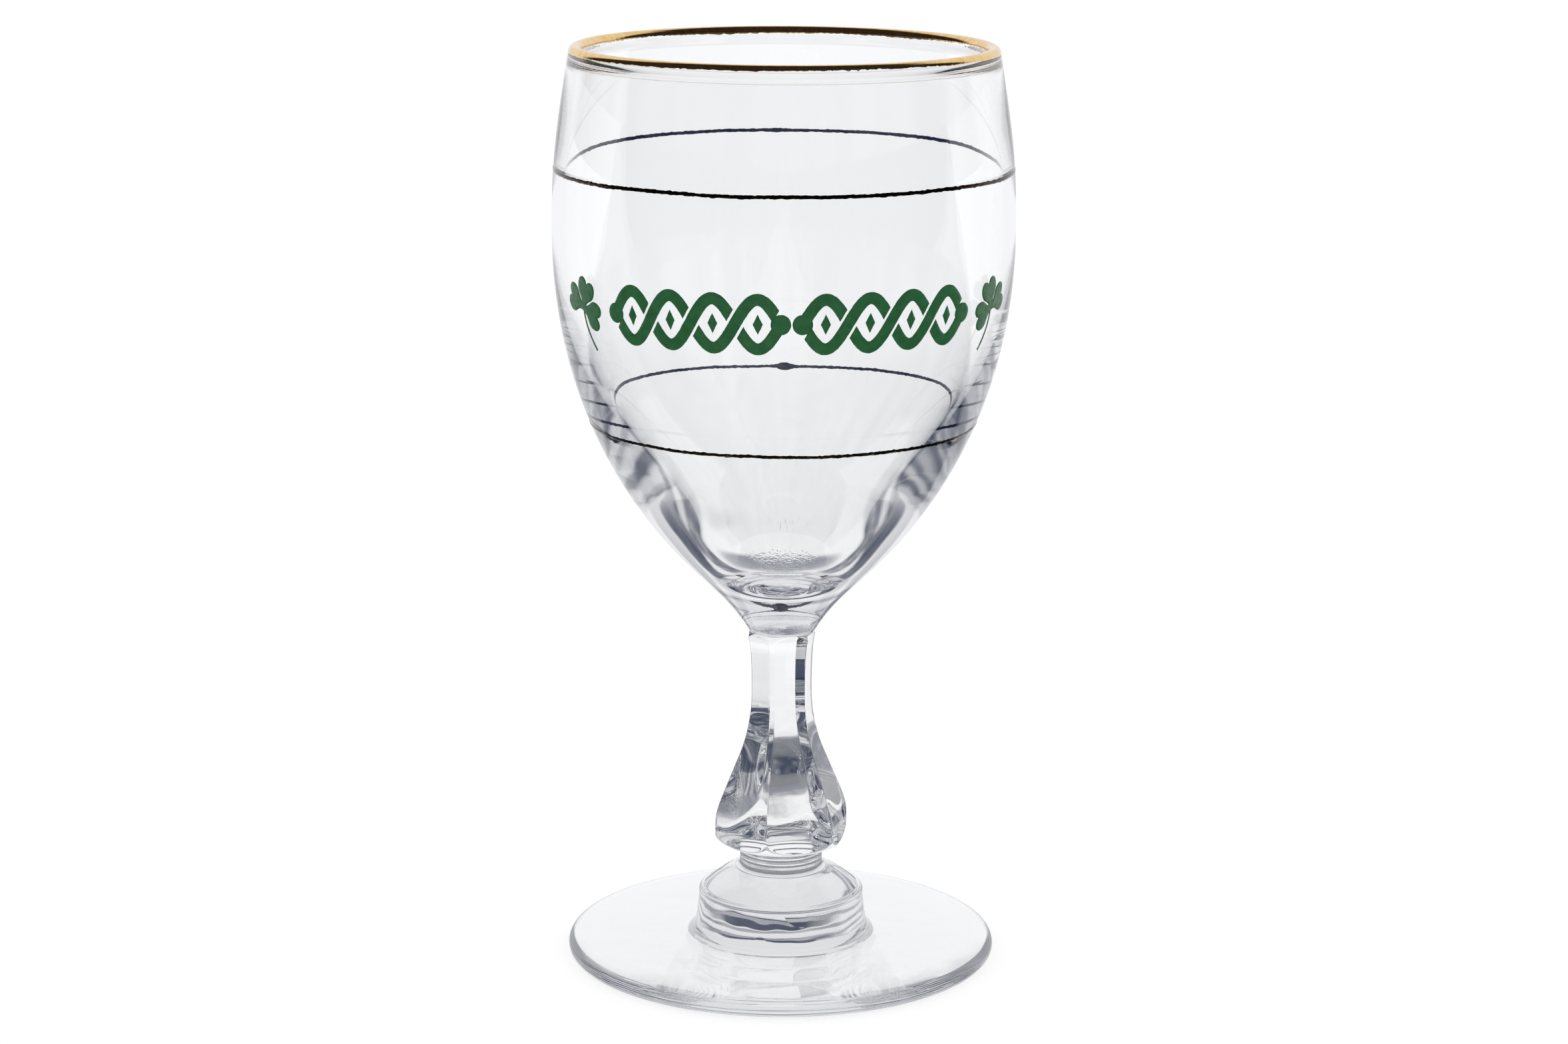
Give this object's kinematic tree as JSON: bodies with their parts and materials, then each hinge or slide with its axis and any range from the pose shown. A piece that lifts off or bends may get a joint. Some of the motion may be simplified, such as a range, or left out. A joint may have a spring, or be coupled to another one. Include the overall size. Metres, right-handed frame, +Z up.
{
  "type": "stemmed irish coffee glass",
  "caption": "Clear stemmed glass for hot coffee drinks, with a tulip bowl, gilded lip, gold lines, green plaited border and shamrocks, six-sided stem and round foot.",
  "frame": {"origin": "centre of the foot's underside, on the surface that the glass stands on", "axes": "+Z up along the glass's axis; -Y towards the front, where the green print is; +X to the right seen from the front"},
  "size_m": [0.0752, 0.0752, 0.1521],
  "materials": {
    "clear_glass": "clear polished soda-lime glass",
    "gold_film": "bright fired gold, worn at its edges",
    "green_enamel": "fired dark green enamel, glossy"
  },
  "bodies": {
    "root": {"foot": "clear_glass", "stem": "clear_glass", "bowl": "clear_glass", "gold_rim": "gold_film", "upper_gold_line": "gold_film", "lower_gold_line": "gold_film", "left_border": "green_enamel", "right_border": "green_enamel", "left_shamrock": "green_enamel", "right_shamrock": "green_enamel"}
  },
  "joints": []
}
